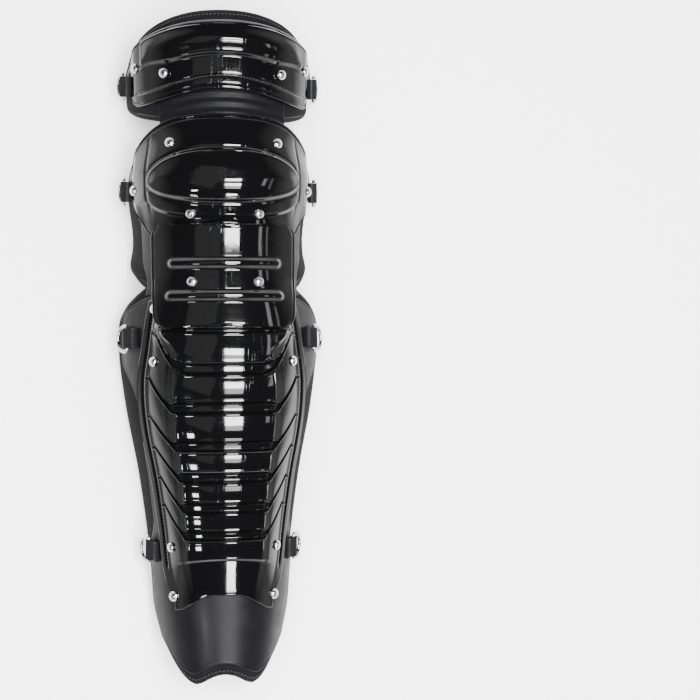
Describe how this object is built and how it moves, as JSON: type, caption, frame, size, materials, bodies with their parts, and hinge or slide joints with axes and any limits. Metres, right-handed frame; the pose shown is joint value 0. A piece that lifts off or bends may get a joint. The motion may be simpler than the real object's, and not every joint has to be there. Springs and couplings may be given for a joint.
{
  "type": "umpire leg guard",
  "caption": "Leg guard of layered moulded plates over a padded trough for the shin, with knee and thigh pads and rings for straps.",
  "frame": {"origin": "centre of the bounding box at the plane that the guard lies on, leg side down", "axes": "+Y towards the thigh end, +Z out of the guard's front, +X to the right as the front is seen"},
  "size_m": [0.1854, 0.5908, 0.1107],
  "materials": {
    "gloss_plastic": "mirror-gloss black, finely scratched",
    "satin_plastic": "satin black",
    "liner_fabric": "charcoal knit over foam, with black binding",
    "webbing": "black nylon webbing",
    "chrome": "polished"
  },
  "bodies": {
    "guard": {"shin_liner": "liner_fabric", "knee_pad": "liner_fabric", "thigh_pad": "liner_fabric", "shin_shell": "satin_plastic", "shin_plate": "gloss_plastic", "knee_plate": "gloss_plastic", "thigh_plate": "gloss_plastic", "knee_flap": "gloss_plastic", "neck_plate": "satin_plastic", "link_plate": "satin_plastic", "thigh_tab_left": "webbing", "thigh_tab_right": "webbing", "knee_tab_left": "webbing", "knee_tab_right": "webbing", "calf_tab_left": "webbing", "calf_tab_right": "webbing", "ankle_tab_left": "webbing", "ankle_tab_right": "webbing", "rivet_1_left": "chrome", "rivet_1_right": "chrome", "rivet_2_left": "chrome", "rivet_2_right": "chrome", "rivet_3_left": "chrome", "rivet_3_right": "chrome", "rivet_4_left": "chrome", "rivet_4_right": "chrome", "rivet_5_left": "chrome", "rivet_5_right": "chrome", "rivet_6_left": "chrome", "rivet_6_right": "chrome", "rivet_7_left": "chrome", "rivet_7_right": "chrome", "rivet_8_left": "chrome", "rivet_8_right": "chrome", "rivet_9_left": "chrome", "rivet_9_right": "chrome", "rivet_10_left": "chrome", "rivet_10_right": "chrome"},
    "thigh_ring_left": {"thigh_ring_left": "chrome"},
    "thigh_ring_right": {"thigh_ring_right": "chrome"},
    "knee_ring_left": {"knee_ring_left": "chrome"},
    "knee_ring_right": {"knee_ring_right": "chrome"},
    "calf_ring_left": {"calf_ring_left": "chrome"},
    "calf_ring_right": {"calf_ring_right": "chrome"},
    "ankle_ring_left": {"ankle_ring_left": "chrome"},
    "ankle_ring_right": {"ankle_ring_right": "chrome"}
  },
  "joints": [
    {"name": "thigh_ring_turn_left", "type": "hinge", "parent": "guard", "child": "thigh_ring_left", "pos_m": [-0.08528, 0.23497, 0.03326], "axis": [0, 0.9885, 0.1514], "range_deg": [0, 150]},
    {"name": "thigh_ring_turn_right", "type": "hinge", "parent": "guard", "child": "thigh_ring_right", "pos_m": [0.08528, 0.23497, 0.03326], "axis": [0, -0.9885, -0.1514], "range_deg": [0, 150]},
    {"name": "knee_ring_turn_left", "type": "hinge", "parent": "guard", "child": "knee_ring_left", "pos_m": [-0.08492, 0.14132, 0.03281], "axis": [0, 0.9961, 0.0887], "range_deg": [0, 150]},
    {"name": "knee_ring_turn_right", "type": "hinge", "parent": "guard", "child": "knee_ring_right", "pos_m": [0.08492, 0.14132, 0.03281], "axis": [0, -0.9961, -0.0887], "range_deg": [0, 150]},
    {"name": "calf_ring_turn_left", "type": "hinge", "parent": "guard", "child": "calf_ring_left", "pos_m": [-0.0837, 0.01064, 0.03945], "axis": [0, 0.9928, -0.1195], "range_deg": [0, 150]},
    {"name": "calf_ring_turn_right", "type": "hinge", "parent": "guard", "child": "calf_ring_right", "pos_m": [0.0837, 0.01064, 0.03945], "axis": [0, -0.9928, 0.1195], "range_deg": [0, 150]},
    {"name": "ankle_ring_turn_left", "type": "hinge", "parent": "guard", "child": "ankle_ring_left", "pos_m": [-0.06489, -0.17758, 0.03231], "axis": [0, 0.9875, 0.1578], "range_deg": [0, 150]},
    {"name": "ankle_ring_turn_right", "type": "hinge", "parent": "guard", "child": "ankle_ring_right", "pos_m": [0.06489, -0.17758, 0.03231], "axis": [0, -0.9875, -0.1578], "range_deg": [0, 150]}
  ]
}
